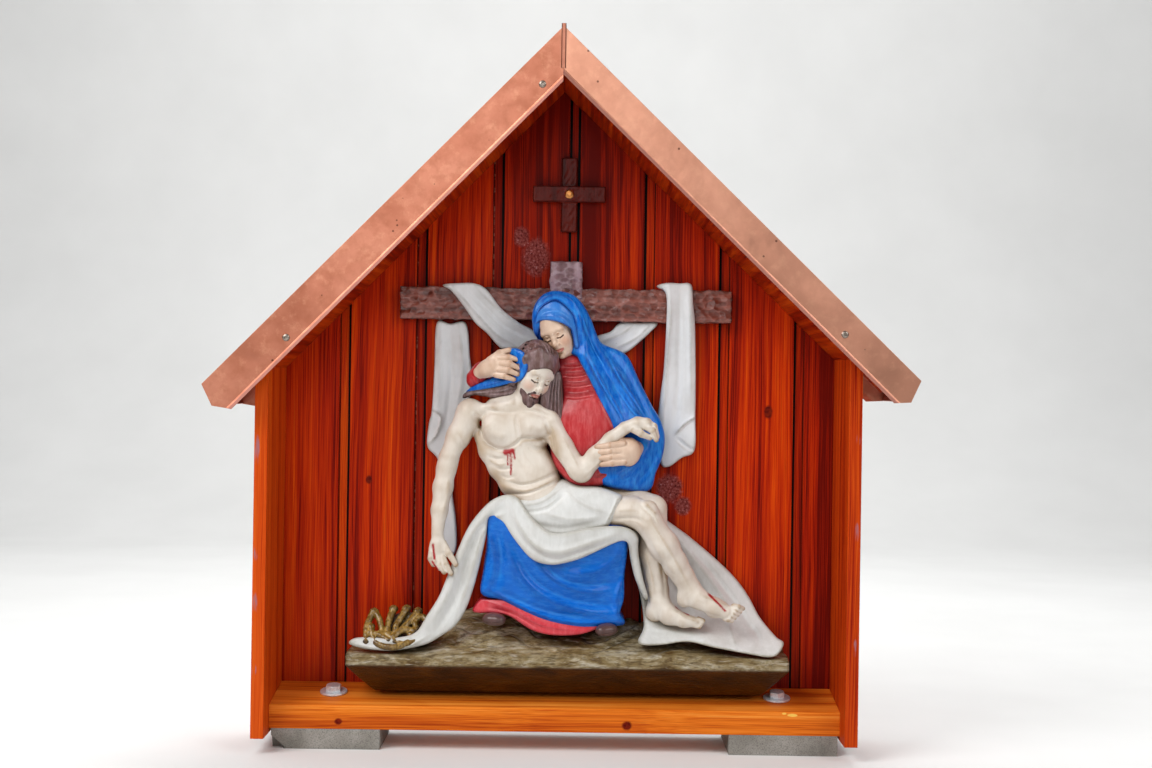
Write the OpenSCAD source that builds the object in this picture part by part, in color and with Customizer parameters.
// A wayside shrine: an open gabled box of stained boards under folded copper sheet.
// A carved and painted mourning group stands in it on a rock plinth, before a draped cross.
// Frame: millimetres, +Z up, open front towards -Y, z = 0 at the underside of the blocks.

/* [Box] */
// Inner width between the side walls
inner_w = 756; // [740:1:780]
// Thickness of a side wall
wall_t = 17; // [15:0.5:20]
// Depth of the side walls, front edge to back face
wall_depth = 147; // [140:1:160]
// Height of the side walls' lower ends above the ground
wall_foot = 20.5; // [12:0.5:24]
// Thickness of the back boards
back_t = 18; // [16:0.5:20]

/* [Back boards] */
// Number of boards in the back wall
board_count = 8; // [8:1:8]
// Width of the first board's face, at the left wall
first_board_w = 73.5; // [66:0.5:80]
// Width of the last board's face, at the right wall
last_board_w = 40.5; // [36:0.5:46]
// Width of a shadow groove
groove_w = 15.5; // [12:0.5:17]
// Depth of a shadow groove
groove_d = 6; // [4:0.5:7]
// Thickness of the tongue behind a groove
tongue_t = 6; // [5:0.5:7]
// How far a tongue enters the next board
tongue_in = 6; // [4:0.5:8]
// Play round a tongue
tongue_play = 0.3; // [0.2:0.1:0.5]

/* [Roof] */
// Pitch of the left slope in degrees
pitch_left = 45.5; // [43:0.5:47]
// Pitch of the right slope in degrees
pitch_right = 44; // [42:0.5:46]
// Height of the ridge above the ground
ridge_z = 947.5; // [930:0.5:960]
// From the ridge to the left eave, level
eave_left = 458.5; // [452:0.5:466]
// From the ridge to the right eave, level
eave_right = 465; // [456:0.5:470]
// How far the front verge stands before the side walls
verge_front = 28; // [24:1:32]
// How far the rear verge stands behind the back wall
verge_rear = 18; // [14:1:24]
// Thickness of the roof boards
roof_t = 21.5; // [18:0.5:24]
// Thickness of the lining boards under them
lining_t = 18; // [16:0.5:20]

/* [Copper] */
// Thickness of the copper sheet
copper_t = 1; // [0.8:0.1:1.4]
// Height of the left verge trims, square to the slope
verge_left = 50.5; // [46:0.5:54]
// Height of the right verge trims, square to the slope
verge_right = 45.5; // [43:0.5:52]
// Height of the drip strip kicked out at its lower edge
drip_h = 6.3; // [5:0.1:8]
// How far the drip strip is kicked out
drip_out = 4; // [3:0.5:6]
// Fall of the sheet folded down at the eave
eave_fall = 29; // [26:0.5:32]
// How far that fold leans out down the slope
eave_lean = 10.3; // [8:0.1:12]
// Width of the folded seam on the ridge
seam_w = 6; // [5:0.5:8]
// Height of the seam above the ridge
seam_h = 3; // [2:0.5:6]
// Diameter of the pan heads that hold the verge trims
pan_d = 10; // [8:0.5:12]
// Height of the pan heads
pan_h = 3; // [2:0.5:4]
// How far the left pan screws sit below the slope's upper face
pan_drop_left = 34; // [28:1:38]
// How far the right pan screw sits below it
pan_drop_right = 27; // [22:1:32]
// Distance of the upper screw from the ridge, down the slope
pan_high = 72.5; // [60:0.5:90]
// Distance of the lower screws from the ridge, down the slope
pan_low = 535; // [500:1:560]

/* [Base] */
// Width of a concrete block
block_w = 144; // [130:1:150]
// Height of a concrete block
block_h = 26.7; // [24:0.1:34]
// Gap between a block's outer end and the side wall
block_inset = 3; // [2:0.5:6]
// Distance of the sill's front from the side walls' front edges
sill_back = 38; // [34:1:42]
// Thickness of the sill at its front edge
sill_front_t = 31.5; // [28:0.1:34]
// Thickness of the sill at its back edge
sill_back_t = 45.6; // [42:0.1:48]
// Radius of the sill's upper front edge
sill_round = 3; // [2:0.5:6]
// Distance of the bolts from the middle
bolt_x = 300; // [285:1:310]
// Distance of the bolts behind the sill's front
bolt_back = 49; // [44:1:56]
// Diameter of the bolts
bolt_d = 12; // [10:1:12]
// Play of the bolts in their holes
bolt_play = 1; // [0.6:0.2:1.6]
// Width of the bolts' hexagon heads across the flats
bolt_af = 19; // [17:1:19]
// Height of the heads
bolt_head_h = 8; // [6:0.5:9]
// Diameter of the washers
washer_d = 37; // [34:1:40]
// Thickness of the washers
washer_t = 3; // [2:0.5:3.5]

/* [Crosses] */
// Width of the large cross's bars
cross_w = 47; // [42:1:50]
// Thickness of the large cross's bars
cross_t = 18; // [16:1:20]
// Length of the large cross's beam
beam_len = 457; // [440:1:470]
// Place of the beam's middle, right of the niche's middle
beam_x = 6.5; // [0:0.5:10]
// How far the beam's underside stands below the group's height
beam_drop = 39.5; // [34:0.5:46]
// How far the post stands above the beam
post_over = 37; // [30:1:44]
// Place of the small cross, right of the niche's middle
small_x = 9; // [6:0.5:12]
// Width of the small cross's bars
small_w = 22; // [20:1:24]
// Thickness of the small cross's bars
small_t = 8; // [6:0.5:10]
// Gap between the large cross's post and the small cross
small_gap = 40; // [34:1:48]
// Length of the small upright
small_h = 102.5; // [96:0.5:106]
// Length of the small bar
small_bar = 100; // [94:1:106]
// Height of the small bar above the upright's lower end
small_bar_up = 40.5; // [36:0.5:46]
// Diameter of the screw in the small cross
small_screw_d = 13; // [10:0.5:14]

/* [Carving] */
// Height of the mourning group above the rock plinth
group_h = 484; // [465:1:490]
// Width of the plinth's top
plinth_w = 590; // [570:1:600]
// Width of the plinth's underside
plinth_foot_w = 520; // [500:1:540]
// Depth of the plinth
plinth_d = 98; // [94:1:100]
// Depth of the plinth's underside
plinth_foot_d = 57; // [52:1:60]
// Height of the plinth's lower chamfer
plinth_chamfer = 40; // [36:1:44]
// Height of the plinth's upright front face
plinth_face = 16; // [12:1:20]
// Rise of the rock from the front to the back wall
rock_rise = 44; // [36:1:50]
// Place of the plinth's middle, right of the niche's middle
plinth_x = 16; // [10:1:20]
// Width of the chamfer on the plinth's upper edges
plinth_lip = 5; // [3:0.5:7]

/* [Hidden] */
eps = 0.01;
fine = 48;
// Depth: the front verge and the rear verge lie the same distance from the middle
deck_d = verge_front + wall_depth + verge_rear;
deck_front = -deck_d / 2;
wall_front = deck_front + verge_front;
back_face = wall_front + wall_depth - back_t;
wall_back = wall_front + wall_depth;
sill_front = wall_front + sill_back;
sill_d = back_face - sill_front;
sill_tilt = atan((sill_back_t - sill_front_t) / sill_d);
wall_out = inner_w / 2 + wall_t;
// Roof layers, measured square to the slope from the copper's upper face
n_board = copper_t;
n_lining = n_board + roof_t;
n_inside = n_lining + lining_t;
// The group's own unit, so that all figures grow together
k = group_h / 484;
plinth_z = block_h + sill_back_t;
stand_z = plinth_z + plinth_chamfer + plinth_face;
beam_z = stand_z + group_h - beam_drop;
post_top = beam_z + cross_w + post_over;
small_foot = post_top + small_gap;
// Grooves: what the first and the last board leave is shared evenly
first_groove = first_board_w - inner_w / 2;
board_pitch = (inner_w - first_board_w - last_board_w - groove_w) / (board_count - 2);
oak = "#9b3a12";
copper = "#c9836a";
zinc = "#b9bec2";
concrete = "#9a9890";
blue = "#0a4fb0";
red = "#a3202a";
flesh = "#e3d6bb";
linen = "#dcdcd8";
rock = "#6b6455";
walnut = "#55302a";
thorn = "#7a6a45";
shoe = "#6b4a4a";
hair = "#6d4b3c";

// The two slopes differ a little, as on the real roof
function pitch(side) = side < 0 ? pitch_left : pitch_right;
function eave(side) = side < 0 ? eave_left : eave_right;
function verge_h(side) = side < 0 ? verge_left : verge_right;
function slope_len(side) = eave(side) / cos(pitch(side));
// Height of a roof layer's face at a level distance from the ridge
function roof_z(side, x, n) = ridge_z - x * tan(pitch(side)) - n / cos(pitch(side));
// A place in the group: right of the middle, out from the back wall, above the stand
function at(x, d, h) = [x * k, back_face - d * k, stand_z + h * k];
function arc(c, r, a0, a1, n) = [for (i = [0 : n]) let (a = a0 + (a1 - a0) * i / n) c + r * [cos(a), sin(a)]];

// Shared forms
// An outline across the niche, run from front to back
module run_back(y0, y1) {
    translate([0, y1, 0]) rotate([90, 0, 0]) linear_extrude(y1 - y0) children();
}

module on_side(side) {
    mirror([side < 0 ? 1 : 0, 0, 0]) children();
}

// Base
module block(side) {
    x0 = inner_w / 2 - block_inset - block_w;
    color(concrete) difference() {
        on_side(side) translate([x0, sill_front, 0]) cube([block_w, wall_back - sill_front, block_h]);
        bolt_hole(side);
        if (side < 0) broken_corner();
    }
}

module broken_corner() {
    chip = 26;
    translate([-(inner_w / 2 - block_inset), sill_front, 0]) rotate([24, 36, 18]) cube(chip, center = true);
}

// The bolts stand square to the sloping sill
module on_sill(side) {
    rise = sill_front_t + bolt_back * tan(sill_tilt);
    translate([side * bolt_x, sill_front + bolt_back, block_h + rise]) rotate([sill_tilt, 0, 0]) children();
}

module bolt_hole(side) {
    deep = 4 * (block_h + sill_back_t);
    on_sill(side) cylinder(d = bolt_d + bolt_play, h = deep, center = true, $fn = fine);
}

module sill_board() {
    round_c = [sill_round, sill_front_t - sill_round];
    color(oak) difference() {
        translate([-inner_w / 2, sill_front, block_h]) rotate([90, 0, 90]) linear_extrude(inner_w)
            polygon(concat([[0, 0]], arc(round_c, sill_round, 180, 90, 6),
                [[sill_d, sill_back_t], [sill_d, 0]]));
        bolt_hole(-1);
        bolt_hole(1);
    }
}

module bolt(side) {
    color(zinc) {
        on_sill(side) translate([0, 0, washer_t]) {
            cylinder(d = bolt_af / cos(30), h = bolt_head_h, $fn = 6);
        }
        intersection() {
            on_sill(side) translate([0, 0, washer_t + bolt_head_h / 2 - 2 * block_h - 2 * sill_back_t])
                cylinder(d = bolt_d, h = 2 * block_h + 2 * sill_back_t, $fn = fine);
            translate([side * bolt_x - washer_d, wall_front, 0]) cube([2 * washer_d, wall_depth, ridge_z]);
        }
    }
}

module washer(side) {
    color(zinc) on_sill(side) difference() {
        cylinder(d = washer_d, h = washer_t, $fn = fine);
        translate([0, 0, -washer_t]) cylinder(d = bolt_d + bolt_play, h = 3 * washer_t, $fn = fine);
    }
}

// Walls
module side_wall(side) {
    x0 = inner_w / 2;
    color(oak) on_side(side) run_back(wall_front, wall_back)
        polygon([[x0, wall_foot], [wall_out, wall_foot],
            [wall_out, roof_z(side, wall_out, n_inside)], [x0, roof_z(side, x0, n_inside)]]);
}

// Left edge of groove number i, from 1
function groove_x(i) = first_groove + (i - 1) * board_pitch;

module board_section(i) {
    x0 = i == 1 ? -inner_w / 2 : groove_x(i - 1) + groove_w;
    x1 = i == board_count ? inner_w / 2 : groove_x(i);
    y0 = back_face;
    y1 = wall_back;
    ty = y0 + groove_d;
    slot = tongue_in + tongue_play;
    left = i == 1 ? [[x0, y1], [x0, y0]] :
        [[x0 - groove_w, y1], [x0 - groove_w, ty + tongue_t], [x0 - groove_w - tongue_in, ty + tongue_t],
            [x0 - groove_w - tongue_in, ty], [x0, ty], [x0, y0]];
    right = i == board_count ? [[x1, y0], [x1, y1]] :
        [[x1, y0], [x1, ty - tongue_play], [x1 - slot, ty - tongue_play],
            [x1 - slot, ty + tongue_t + tongue_play], [x1, ty + tongue_t + tongue_play], [x1, y1]];
    polygon(concat(left, right));
}

module gable(n) {
    x = inner_w / 2;
    polygon([[-x, block_h], [x, block_h], [x, roof_z(1, x, n)], [0, roof_z(1, 0, n)],
        [0, roof_z(-1, 0, n)], [-x, roof_z(-1, x, n)]]);
}

module back_board(i) {
    color(oak) intersection() {
        translate([0, 0, block_h]) linear_extrude(ridge_z - block_h) board_section(i);
        run_back(back_face, wall_back) gable(n_inside);
    }
}

// Roof
module lining(side) {
    color(oak) on_side(side) run_back(wall_front, wall_back)
        polygon([[0, roof_z(side, 0, n_lining)], [wall_out, roof_z(side, wall_out, n_lining)],
            [wall_out, roof_z(side, wall_out, n_inside)], [0, roof_z(side, 0, n_inside)]]);
}

// The slope's own outline plane: x runs down the slope, y stands square to it
module on_slope(side, y0, y1) {
    on_side(side) translate([0, 0, ridge_z]) rotate([0, pitch(side), 0]) run_back(y0, y1) children();
}

module roof_board(side) {
    end = slope_len(side) - copper_t;
    rise = tan(pitch(side));
    color(oak) on_slope(side, deck_front + copper_t, -deck_front - copper_t)
        polygon([[n_board * rise, -n_board], [end, -n_board], [end, -n_lining], [n_lining * rise, -n_lining]]);
}

module copper_sheet(side) {
    end = slope_len(side);
    tip = [end + eave_lean, -eave_fall];
    color(copper) on_slope(side, deck_front + copper_t, -deck_front - copper_t)
        polygon([[0, 0], [end, 0], tip, tip - [copper_t, 0], [end - copper_t, -copper_t],
            [copper_t * tan(pitch(side)), -copper_t]]);
}

// What the verge trim is cut to, seen from the front: plumb at the ridge, slanting at the eave.
// The cut stands clear of the trim's own edges above and below.
module verge_outline(side) {
    high = verge_h(side);
    clear = high / 2;
    deep = high + clear;
    end = slope_len(side);
    rise = tan(pitch(side));
    fall = [end + eave_lean, -eave_fall];
    foot = [-1.5 * eave_lean, eave_fall - high];
    polygon([[-clear * rise, clear], [end, clear], [end, 0], fall, fall + 2 * foot, [deep * rise, -deep]]);
}

// Plate and kicked-out drip strip, run down the slope
module verge_profile(high) {
    polygon([[0, 0], [0, drip_h - high], [-drip_out, -high], [copper_t - drip_out, -high],
        [copper_t, drip_h - high], [copper_t, 0]]);
}

module verge_front(side) {
    reach = slope_len(side) + 2 * eave_lean;
    color(copper) intersection() {
        on_side(side) translate([0, deck_front, ridge_z]) rotate([0, pitch(side), 0])
            rotate([90, 0, 90]) linear_extrude(reach) verge_profile(verge_h(side));
        on_slope(side, deck_front - 2 * drip_out, deck_front + 2 * drip_out) verge_outline(side);
    }
}

module verge_rear(side) {
    mirror([0, 1, 0]) verge_front(side);
}

// A folded seam stands on the ridge and hangs down over the joint of the front verge trims
module ridge_seam() {
    tail = (verge_h(1) - drip_h) / cos(pitch(1));
    drops = [for (side = [-1, 1]) ridge_z - seam_w / 2 * tan(pitch(side))];
    color(copper) {
        run_back(deck_front - copper_t, -deck_front)
            polygon([[-seam_w / 2, drops[0]], [0, ridge_z], [seam_w / 2, drops[1]],
                [seam_w / 2, ridge_z + seam_h], [-seam_w / 2, ridge_z + seam_h]]);
        translate([-seam_w / 2, deck_front - copper_t, ridge_z - tail]) cube([seam_w, copper_t, tail]);
    }
}

// Crosses
module cross_post() {
    color(walnut) difference() {
        translate([beam_x - cross_w / 2, back_face - cross_t, stand_z])
            cube([cross_w, cross_t, post_top - stand_z]);
        translate([beam_x - beam_len / 2, back_face - 1.5 * cross_t, beam_z])
            cube([beam_len, cross_t, cross_w]);
        translate([-plinth_w / 2, wall_front, 0]) cube([plinth_w, wall_depth, stand_z + rock_rise]);
    }
}

module cross_beam() {
    color(walnut) difference() {
        translate([beam_x - beam_len / 2, back_face - cross_t, beam_z]) cube([beam_len, cross_t, cross_w]);
        translate([beam_x - cross_w / 2, back_face - cross_t / 2, beam_z - cross_w])
            cube([cross_w, cross_t, 3 * cross_w]);
    }
}

module small_cross() {
    bar_z = small_foot + small_bar_up;
    color(walnut) difference() {
        union() {
            translate([small_x - small_w / 2, back_face - small_t, small_foot])
                cube([small_w, small_t, small_h]);
            translate([small_x - small_bar / 2, back_face - 2 * small_t, bar_z])
                cube([small_bar, small_t, small_w]);
        }
        translate([small_x, back_face, bar_z + small_w / 2]) rotate([90, 0, 0])
            cylinder(d = small_screw_d / 2, h = 3 * small_t, $fn = fine);
    }
}

module cross_screw() {
    bar_z = small_foot + small_bar_up;
    translate([small_x, back_face - 2 * small_t, bar_z + small_w / 2]) rotate([90, 0, 0]) {
        cylinder(d = small_screw_d, h = small_t / 4, $fn = fine);
        translate([0, 0, -2 * small_t]) cylinder(d = small_screw_d / 2, h = 2 * small_t + eps, $fn = fine);
    }
}

module pan_screw(side, along) {
    drop = side < 0 ? pan_drop_left : pan_drop_right;
    on_side(side) translate([0, deck_front, ridge_z]) rotate([0, pitch(side), 0]) translate([along, 0, -drop])
        rotate([90, 0, 0]) cylinder(d = pan_d, h = pan_h, $fn = fine);
}

module screws() {
    color("goldenrod") cross_screw();
    color(zinc) {
        pan_screw(-1, pan_high);
        pan_screw(-1, pan_low);
        pan_screw(1, pan_low);
    }
}

// Shared forms of the carving
// One ball of a limb: a place and a radius
module knob(p, n = 8) {
    translate(at(p[0], p[1], p[2])) sphere(p[3] * k, $fn = n);
}

// A limb: balls joined in a row
module limb(points, n = 8) {
    for (i = [0 : len(points) - 2]) hull() {
        knob(points[i], n);
        knob(points[i + 1], n);
    }
}

// One smooth mass over all its balls
module mass(points, n = 8) {
    hull() for (p = points) knob(p, n);
}

// Places of the four knobs round a patch of cloth
function patch(rows, i, j) = [rows[i][j], rows[i][j + 1], rows[i + 1][j], rows[i + 1][j + 1]];

// A closed sheet of cloth over rows of knobs, whose depths give its folds
module cloth(rows, n = 6) {
    for (i = [0 : len(rows) - 2]) for (j = [0 : len(rows[i]) - 2]) mass(patch(rows, i, j), n);
}

// Cloth that is solid to a depth behind it
module drape(rows, back, n = 6) {
    for (i = [0 : len(rows) - 2]) for (j = [0 : len(rows[i]) - 2]) hull() for (p = patch(rows, i, j)) {
        knob(p, n);
        knob([p[0], back, p[2], p[3]], 4);
    }
}

// The shroud hangs over the beam: a sash to each side, a tail at each end
module shroud_form() {
    cloth([
        [[-160, 21, 491, 4], [-138, 24, 492, 5], [-118, 21, 491, 4]],
        [[-130, 21, 460, 4], [-113, 25, 467, 5], [-95, 22, 474, 4]],
        [[-101, 18, 432, 4], [-85, 23, 446, 5], [-68, 21, 451, 4]],
        [[-73, 11, 412, 4], [-54, 17, 423, 5], [-35, 15, 429, 4]]]);
    cloth([
        [[-169, 7, 444, 4], [-151, 11, 444, 4], [-132, 8, 444, 4]],
        [[-173, 8, 373, 4], [-149, 12, 373, 4], [-125, 8, 373, 4]],
        [[-177, 9, 281, 4], [-160, 13, 289, 4], [-143, 8, 296, 4]],
        [[-167, 8, 258, 4], [-158, 11, 255, 4], [-148, 8, 268, 4]],
        [[-160, 7, 197, 4], [-152, 9, 197, 4], [-145, 7, 197, 4]],
        [[-156, 7, 141, 4], [-151, 8, 131, 4], [-143, 7, 132, 4]]]);
    cloth([
        [[134, 20, 494, 4], [156, 24, 496, 5], [177, 21, 496, 4]],
        [[146, 20, 444, 4], [162, 24, 442, 5], [182, 21, 442, 4]],
        [[144, 13, 402, 4], [165, 17, 402, 4], [185, 14, 402, 4]],
        [[139, 10, 307, 4], [163, 16, 308, 4], [186, 12, 318, 4]],
        [[143, 9, 256, 4], [164, 14, 264, 4], [186, 11, 274, 4]]]);
    cloth([
        [[131, 9, 444, 4], [107, 11, 445, 4], [83, 9, 444, 4]],
        [[104, 10, 417, 4], [86, 13, 424, 4], [58, 10, 430, 4]],
        [[76, 9, 404, 4], [58, 12, 409, 4], [43, 10, 418, 4]]]);
}

module shroud() {
    color(linen) difference() {
        shroud_form();
        beam_block();
        behind_wall();
        mantle_form();
    }
}

module beam_block() {
    translate([beam_x - beam_len / 2 - eps, back_face - cross_t - eps, beam_z])
        cube([beam_len + 2 * eps, 2 * cross_t, cross_w]);
 
          translate([beam_x - cross_w / 2, back_face - cross_t, stand_z])
        cube([cross_w, 2 * cross_t, post_top - stand_z]);
}

module behind_wall() {
    translate([-inner_w / 2, back_face, 0]) cube([inner_w, back_t, ridge_z]);
}

// Rock
module plinth_form() {
    translate([plinth_x, back_face, plinth_z]) hull() {
        translate([-plinth_foot_w / 2, -plinth_foot_d, 0]) cube([plinth_foot_w, plinth_foot_d, 1]);
        translate([-plinth_w / 2, -plinth_d, plinth_chamfer])
            cube([plinth_w, plinth_d, plinth_face - plinth_lip]);
        translate([plinth_lip - plinth_w / 2, plinth_lip - plinth_d, plinth_chamfer])
            cube([plinth_w - 2 * plinth_lip, plinth_d - plinth_lip, plinth_face]);
    }
}

// Ledges that rise towards the back wall
module rock_form() {
    ledges = [
        [[-250, 90, -5, 6], [-165, 90, -4, 6], [-120, 88, -2, 6], [0, 92, -4, 6], [95, 90, -3, 6],
            [290, 90, -5, 6]],
        [[-256, 66, -4, 6], [-160, 66, 0, 6], [-118, 64, 9, 6], [0, 70, 5, 6], [95, 66, 7, 6],
            [294, 66, -4, 6]],
        [[-260, 40, -2, 6], [-160, 38, 8, 6], [-122, 36, 24, 6], [0, 42, 20, 6], [100, 38, 18, 6],
            [296, 40, -2, 6]],
        [[-262, 12, 0, 6], [-160, 12, 22, 6], [-130, 12, 38, 6], [0, 12, 36, 6], [100, 12, 28, 6],
            [298, 12, 2, 6]]];
    drape([for (row = ledges) [for (p = row) [p[0], p[1], p[2] * rock_rise / (44 * k), p[3]]]], 4);
}

module rock_plinth() {
    color(rock) difference() {
        union() {
            plinth_form();
            rock_form();
        }
        behind_wall();
        translate([-plinth_w, wall_front, 0]) cube([2 * plinth_w, wall_depth, plinth_z]);
        on_rock();
    }
}

// Everything that stands on the rock
module on_rock() {
    skirt_form();
    shoes_form();
    cloth_form();
    legs_form();
    crown_form();
}

// The crown of thorns: thick twigs bent up from a braided front, with blunt ends
module crown_form() {
    twigs = [
        [[-251, 81.8, 15, 4.1], [-252, 67.5, 31, 4.6], [-250, 58.4, 41, 4.6], [-245, 50.6, 50, 5.5]],
        [[-243, 51.9, 49, 4.8], [-237, 58.4, 41, 4.6], [-232, 68.8, 29, 4.3], [-230, 75.3, 22, 4.1]],
        [[-213, 81.8, 15, 3.8], [-222, 72.7, 25, 4.3], [-224, 62.3, 37, 4.6], [-219, 48, 53, 5.5]],
        [[-214, 77.9, 19, 3.8], [-213, 66.2, 33, 4.8], [-208, 57.1, 43, 4.8], [-201, 47.4, 55, 5.5]],
        [[-212, 75.3, 22, 3.8], [-202, 66.2, 33, 4.8], [-193, 57.8, 43, 4.8], [-186, 50, 52, 5.3]],
        [[-186, 68.8, 30, 4.3], [-189, 62.3, 37, 4.6], [-182, 56.5, 44, 5], [-175, 59, 41, 4.8],
            [-172, 67.5, 32, 4.3]],
        [[-215, 76.6, 21, 4.3], [-204, 70.1, 28, 4.8], [-189, 70.8, 28, 4.6]],
        [[-247, 72.7, 25, 4.3], [-235, 75.3, 22, 4.8], [-221, 80.5, 16, 4.3]],
        [[-234, 72.7, 25, 4.3], [-224, 74.7, 23, 4.3], [-213, 81.2, 16, 3.8]],
        [[-247, 66.2, 32, 4.8], [-245, 72.7, 25, 4.6], [-240, 80.5, 16, 4.1], [-234, 85.1, 11, 4.1],
            [-220, 87.7, 8, 4.3], [-206, 86.7, 10, 4.1], [-195, 80.5, 17, 4.1], [-193, 74, 24, 4.3]],
        [[-208, 82.5, 14, 3.6], [-198, 84.4, 12, 3.6], [-185, 79.8, 18, 3.8], [-176, 72.7, 26, 4.3],
            [-173, 63.6, 36, 4.6]]];
    for (twig = twigs) limb(twig, 5);
}

module thorn_crown() {
    color(thorn) crown_form();
}

// Seated figure
module mantle_form() {
    // hood
    mass([[-8, 42, 453, 33], [-8, 46, 439, 34], [6, 40, 427, 32]], 12);
    mass([[2, 34, 427, 34], [30, 34, 400, 26], [21, 30, 368, 26]], 10);
    // shoulder, upper arm and elbow
    drape([
        [[23, 56, 413, 12], [47, 54, 406, 14], [79, 46, 392, 14]],
        [[46, 64, 365, 12], [68, 66, 365, 14], [95, 50, 362, 14]],
        [[62, 72, 321, 12], [89, 74, 321, 14], [119, 54, 315, 15]],
        [[70, 72, 280, 12], [100, 78, 281, 14], [128, 60, 286, 15]],
        [[60, 70, 239, 12], [94, 74, 243, 12], [117, 62, 239, 15]]], 16);
    // fall on the far shoulder, to the corner behind the lying head
    limb([[-32, 34, 409, 20], [-55, 50, 388, 16], [-86, 52, 363, 10], [-117, 54, 352, 7]]);
    limb([[-65, 74, 391, 7], [-51, 76, 381, 8], [-68, 72, 365, 6]], 6);
}

module dress_form() {
    drape([
        [[7, 54, 385, 14], [27, 54, 385, 12]],
        [[11, 56, 351, 16], [41, 60, 348, 14]],
        [[18, 66, 300, 18], [59, 70, 294, 16]],
        [[19, 64, 248, 18], [74, 66, 246, 16]]], 20, 8);
    limb([[-10, 40, 306, 24], [-2, 50, 265, 24], [19, 58, 241, 18]]);
    limb([[-119, 50, 363, 12], [-103, 60, 373, 13]], 10);
}

module seated_head_form() {
    mass([[-5, 60, 438, 24], [-7, 64, 426, 22], [0, 66, 412, 13]], 12);
    limb([[3, 50, 413, 17], [14, 48, 392, 17]], 10);
    // brow, nose and chin
    limb([[-11, 86, 429, 3], [-5, 90, 421, 3.5]], 6);
    mass([[-2, 76, 409, 6], [2, 74, 411, 6]], 6);
}

module seated_mantle() {
    color(blue) difference() {
        mantle_form();
        seated_head_form();
        dress_form();
        hands_form();
        beam_block();
        behind_wall();
        lying_forms();
    }
}

module seated_head() {
    color(flesh) difference() {
        seated_head_form();
        dress_form();
        lying_forms();
        hands_form();
    }
}

module seated_dress() {
    color(red) difference() {
        dress_form();
        hands_form();
        lying_forms();
        beam_block();
        behind_wall();
        skirt_form();
        cloth_form();
    }
}

module hands_form() {
    // hand on the lying head
    mass([[-104, 68, 374, 9], [-87, 82, 386, 9], [-86, 80, 375, 9]], 8);
    for (finger = [
        [[-83, 88, 392, 6], [-68, 92, 393, 5], [-56, 88, 390, 4.5]],
        [[-79, 89, 385, 6], [-65, 94, 385, 5], [-53, 90, 379, 4.5]],
        [[-81, 88, 377, 6], [-67, 93, 377, 5], [-56, 89, 372, 4.5]],
        [[-84, 86, 371, 5.5], [-73, 90, 369, 5], [-61, 87, 365, 4.5]],
        [[-91, 84, 389, 6], [-79, 88, 398, 5], [-67, 86, 403, 4.5]]]) limb(finger, 6);
    // hand under the lying forearm
    mass([[102, 76, 274, 11], [90, 84, 276, 11], [90, 84, 261, 11]], 8);
    for (finger = [
        [[86, 92, 281, 6], [69, 98, 280, 5.5], [52, 92, 277, 4.5]],
        [[89, 92, 273, 6], [69, 99, 273, 5.5], [51, 92, 269, 4.5]],
        [[89, 92, 265, 6], [69, 98, 264, 5.5], [52, 92, 261, 4.5]],
        [[87, 90, 258, 6], [72, 96, 256, 5], [58, 90, 254, 4.5]],
        [[93, 86, 281, 6], [80, 90, 286, 5], [67, 90, 285, 4.5]]]) limb(finger, 6);
}

module seated_hands() {
    color(flesh) difference() {
        hands_form();
        lying_forms();
    }
}

module skirt_form() {
    drape([
        [[-89, 76, 174, 9], [-58, 82, 160, 9], [-20, 90, 141, 9], [28, 88, 142, 9], [82, 84, 159, 9]],
        [[-93, 74, 132, 8], [-64, 84, 126, 8], [-19, 84, 110, 9], [35, 90, 111, 9], [86, 78, 121, 8]],
        [[-95, 74, 92, 7], [-56, 82, 89, 8], [-12, 88, 75, 8], [36, 84, 70, 8], [86, 80, 80, 7]],
        [[-95, 76, 78, 5], [-49, 82, 62, 6], [-8, 86, 48, 6], [36, 86, 41, 6], [87, 82, 43, 5]]], 16);
    // underskirt at the hem
    drape([
        [[-92, 70, 70, 6], [-56, 76, 61, 6], [-5, 80, 44, 6], [56, 80, 37, 6]],
        [[-109, 74, 51, 5], [-63, 82, 51, 5], [-15, 88, 35, 5], [43, 86, 33, 5]]], 40);
}

module seated_skirt() {
    color(blue) difference() {
        skirt_form();
        shoes_form();
        cloth_form();
        lying_forms();
        beam_block();
        behind_wall();
    }
}

module shoes_form() {
    limb([[-92, 76, 45, 8.5], [-82, 88, 46, 10], [-75, 92, 45, 8.5]]);
    limb([[78, 74, 34, 8.5], [68, 88, 34, 10], [61, 94, 33, 8.5]]);
}

module seated_shoes() {
    color(shoe) difference() {
        shoes_form();
        cloth_form();
    }
}

// Lying figure
module torso_form() {
    // shoulders and chest
    mass([[-105, 62, 313, 18], [-64, 64, 324, 17], [-18, 66, 308, 17], [-86, 62, 274, 20],
        [-33, 64, 272, 20]], 12);
    mass([[-95, 68, 305, 16], [-67, 72, 305, 14], [-70, 72, 288, 12]], 10);
    mass([[-47, 74, 309, 14], [-23, 72, 303, 14], [-43, 72, 291, 12]], 10);
    // waist and hips
    mass([[-86, 62, 274, 20], [-33, 64, 272, 20], [-42, 64, 227, 20], [-17, 64, 231, 20]], 12);
    mass([[-42, 64, 227, 20], [-17, 64, 231, 20], [-28, 66, 197, 22], [6, 66, 204, 24]], 12);
    limb([[-56, 66, 326, 15], [-44, 74, 352, 14]], 10);
}

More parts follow.
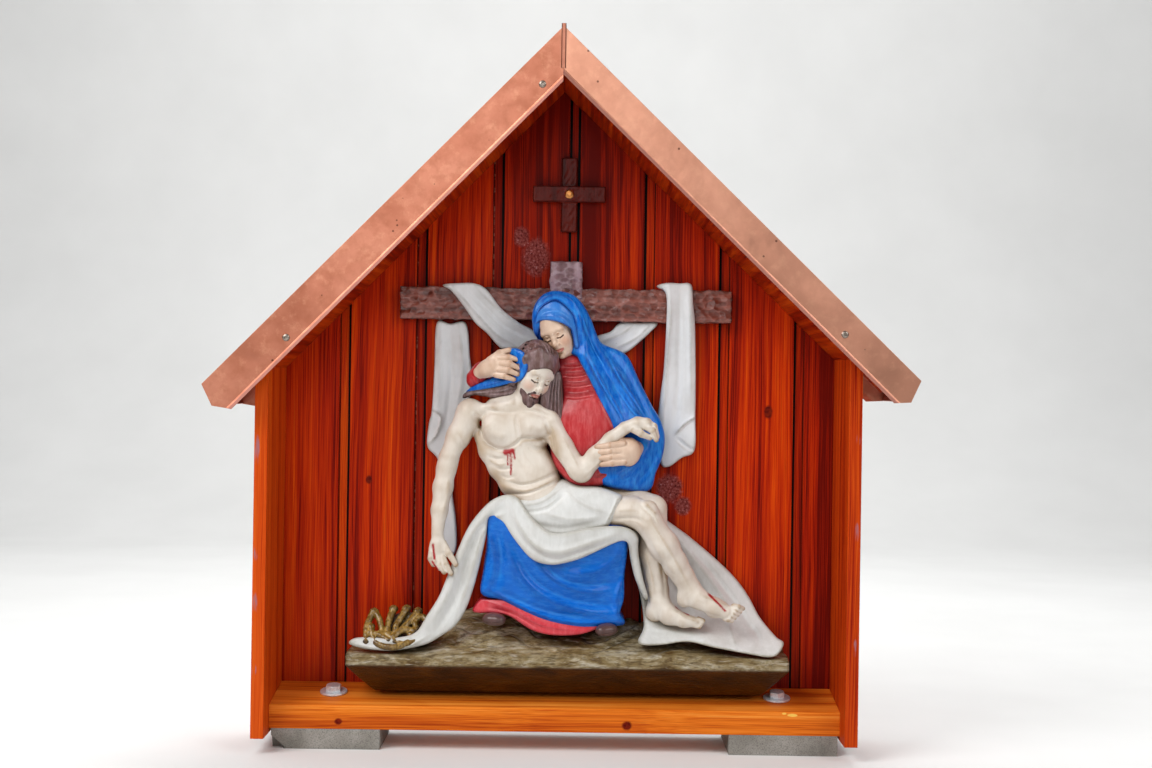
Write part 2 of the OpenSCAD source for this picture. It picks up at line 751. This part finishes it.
module arms_form() {
    limb([[-120, 64, 318, 18], [-135, 65, 287, 16.5], [-146, 67, 258, 13.5], [-150, 68, 243, 13],
        [-154, 70, 219, 13], [-158, 74, 188, 10.5], [-160, 78, 156, 8]]);
    mass([[-160, 80, 145, 9], [-156, 80, 135, 9], [-163, 80, 135, 7]], 6);
    for (finger = [
        [[-165, 82, 136, 5], [-167, 85, 125, 4], [-164, 86, 117, 3.5]],
        [[-161, 83, 132, 5], [-161, 86, 120, 4], [-156, 86, 112, 3.5]],
        [[-157, 83, 131, 5], [-155, 86, 117, 4], [-149, 86, 107, 3.5]],
        [[-153, 82, 132, 5], [-147, 85, 118, 4], [-140, 86, 106, 3.5]],
        [[-152, 80, 144, 5], [-143, 84, 131, 4.5], [-134, 86, 118, 3.5]]]) limb(finger, 5);
    limb([[-10, 72, 304, 16], [5, 78, 276, 15], [27, 84, 245, 13.5], [33, 85, 243, 13],
        [50, 88, 264, 12], [69, 90, 287, 9.5], [86, 91, 301, 8]]);
    mass([[89, 92, 304, 8], [104, 94, 309, 8.5], [114, 94, 308, 7]], 6);
    for (finger = [
        [[113, 92, 311, 5], [126, 94, 306, 4.5], [131, 90, 291, 3.5]],
        [[109, 96, 307, 5], [124, 98, 300, 4.5], [129, 95, 287, 3.5]],
        [[99, 97, 301, 5], [109, 99, 295, 4.5], [121, 97, 290, 4]]]) limb(finger, 5);
}

module legs_form() {
    limb([[34, 70, 191, 24], [81, 77, 194, 21], [113, 84, 195, 19], [125, 86, 190, 18],
        [141, 83, 156, 17], [153, 80, 132, 15.5], [166, 78, 103, 11.5], [174, 78, 82, 9.5]]);
    limb([[169, 76, 74, 11], [192, 82, 68, 10], [212, 86, 63, 8.5], [229, 89, 59, 6.5],
        [239, 90, 58, 5]]);
    limb([[68, 54, 204, 22], [102, 58, 205, 20], [126, 60, 204, 18], [131, 60, 185, 17],
        [128, 58, 150, 16], [127, 58, 123, 15.5], [131, 58, 95, 11], [134, 58, 77, 9.5]]);
    limb([[128, 58, 56, 11], [147, 66, 52, 10], [165, 72, 47, 8.5], [182, 76, 45, 6.5],
        [192, 78, 43, 5]]);
}

module lying_forms() {
    torso_form();
    arms_form();
    legs_form();
    lying_head_form();
    loincloth_form();
}

module lying_body() {
    color(flesh) difference() {
        union() {
            torso_form();
            arms_form();
            legs_form();
        }
        loincloth_form();
        lying_head_form();
        cloth_form();
        behind_wall();
    }
}

module lying_head_form() {
    // skull and face
    mass([[-38, 76, 391, 26], [-30, 84, 374, 20], [-35, 84, 352, 12]], 12);
    limb([[-22, 98, 369, 3], [-21, 101, 361, 3.5]], 6);
    // hair to both shoulders, and the beard
    limb([[-44, 72, 388, 26], [-61, 70, 367, 19], [-85, 68, 350, 11], [-121, 62, 343, 6.5]]);
    limb([[-19, 72, 378, 18], [-8, 72, 347, 13], [-5, 74, 313, 9]]);
    mass([[-33, 88, 340, 10], [-36, 86, 328, 8], [-38, 84, 321, 5]], 6);
}

module lying_head() {
    color(hair) difference() {
        lying_head_form();
        hands_form();
    }
}

module loincloth_form() {
    drape([
        [[-49, 76, 199, 10], [-18, 80, 206, 10], [9, 74, 220, 10]],
        [[-41, 86, 183, 12], [-4, 90, 185, 12], [40, 84, 212, 12]],
        [[-25, 88, 166, 12], [20, 92, 172, 13], [75, 88, 208, 12]],
        [[-10, 88, 158, 10], [31, 92, 162, 12], [73, 88, 184, 12]]], 50);
}

module lying_loincloth() {
    color(linen) difference() {
        loincloth_form();
        behind_wall();
        cloth_form();
    }
}

// The cloth over the lap, with a fall to each side
module cloth_form() {
    cloth([
        [[-63, 86, 207, 6], [-75, 92, 194, 7], [-88, 86, 182, 6]],
        [[-46, 92, 180, 6], [-54, 99, 168, 7], [-67, 94, 167, 6]],
        [[-25, 96, 160, 6], [-33, 102, 146, 7], [-47, 96, 141, 6]],
        [[7, 97, 152, 6], [4, 102, 138, 7], [-2, 97, 123, 6]],
        [[41, 97, 159, 6], [43, 102, 147, 7], [41, 97, 134, 6]],
        [[68, 92, 170, 6], [69, 99, 158, 7], [75, 93, 149, 6]],
        [[89, 88, 170, 6], [91, 95, 160, 7], [93, 88, 153, 6]],
        [[105, 80, 155, 6], [103, 82, 146, 6], [100, 78, 141, 6]]]);
    cloth([
        [[-63, 86, 207, 6], [-75, 92, 194, 7], [-88, 86, 182, 6]],
        [[-109, 78, 178, 6], [-100, 85, 170, 7], [-93, 76, 152, 6]],
        [[-134, 74, 128, 6], [-118, 82, 125, 7], [-103, 72, 119, 6]],
        [[-149, 74, 83, 6], [-131, 80, 81, 7], [-113, 72, 79, 6]],
        [[-170, 80, 42, 6], [-149, 85, 40, 7], [-127, 76, 44, 6]],
        [[-194, 86, 21, 6], [-173, 91, 18, 6], [-147, 82, 25, 6]],
        [[-227, 90, 10, 5], [-213, 94, 8, 5], [-187, 90, 8, 5]],
        [[-272, 88, 11, 5], [-257, 93, 8, 5], [-247, 90, 6, 5]]]);
    cloth([
        [[98, 66, 146, 6], [113, 44, 166, 7], [145, 32, 172, 6]],
        [[107, 56, 109, 6], [146, 34, 124, 7], [184, 24, 133, 6]],
        [[115, 54, 71, 6], [171, 34, 79, 7], [226, 24, 95, 6]],
        [[119, 60, 41, 6], [194, 50, 44, 7], [266, 42, 44, 6]],
        [[112, 84, 26, 5], [199, 88, 26, 6], [293, 86, 21, 5]]]);
}

module lap_cloth() {
    color(linen) difference() {
        cloth_form();
        legs_form();
        crown_form();
        behind_wall();
    }
}

// The assembly
block(-1);  // block_left
block(1);  // block_right
sill_board();
bolt(-1);  // bolt_left
bolt(1);  // bolt_right
washer(-1);  // washer_left
washer(1);  // washer_right
side_wall(-1);  // side_wall_left
side_wall(1);  // side_wall_right
back_board(1);  // back_board_1
back_board(2);  // back_board_2
back_board(3);  // back_board_3
back_board(4);  // back_board_4
back_board(5);  // back_board_5
back_board(6);  // back_board_6
back_board(7);  // back_board_7
back_board(8);  // back_board_8
lining(-1);  // lining_left
lining(1);  // lining_right
roof_board(-1);  // roof_board_left
roof_board(1);  // roof_board_right
copper_sheet(-1);  // copper_sheet_left
copper_sheet(1);  // copper_sheet_right
verge_front(-1);  // verge_front_left
verge_front(1);  // verge_front_right
verge_rear(-1);  // verge_rear_left
verge_rear(1);  // verge_rear_right
ridge_seam();
cross_post();
cross_beam();
small_cross();
screws();
shroud();
rock_plinth();
thorn_crown();
seated_mantle();
seated_head();
seated_dress();
seated_hands();
seated_skirt();
seated_shoes();
lying_body();
lying_head();
lying_loincloth();
lap_cloth();
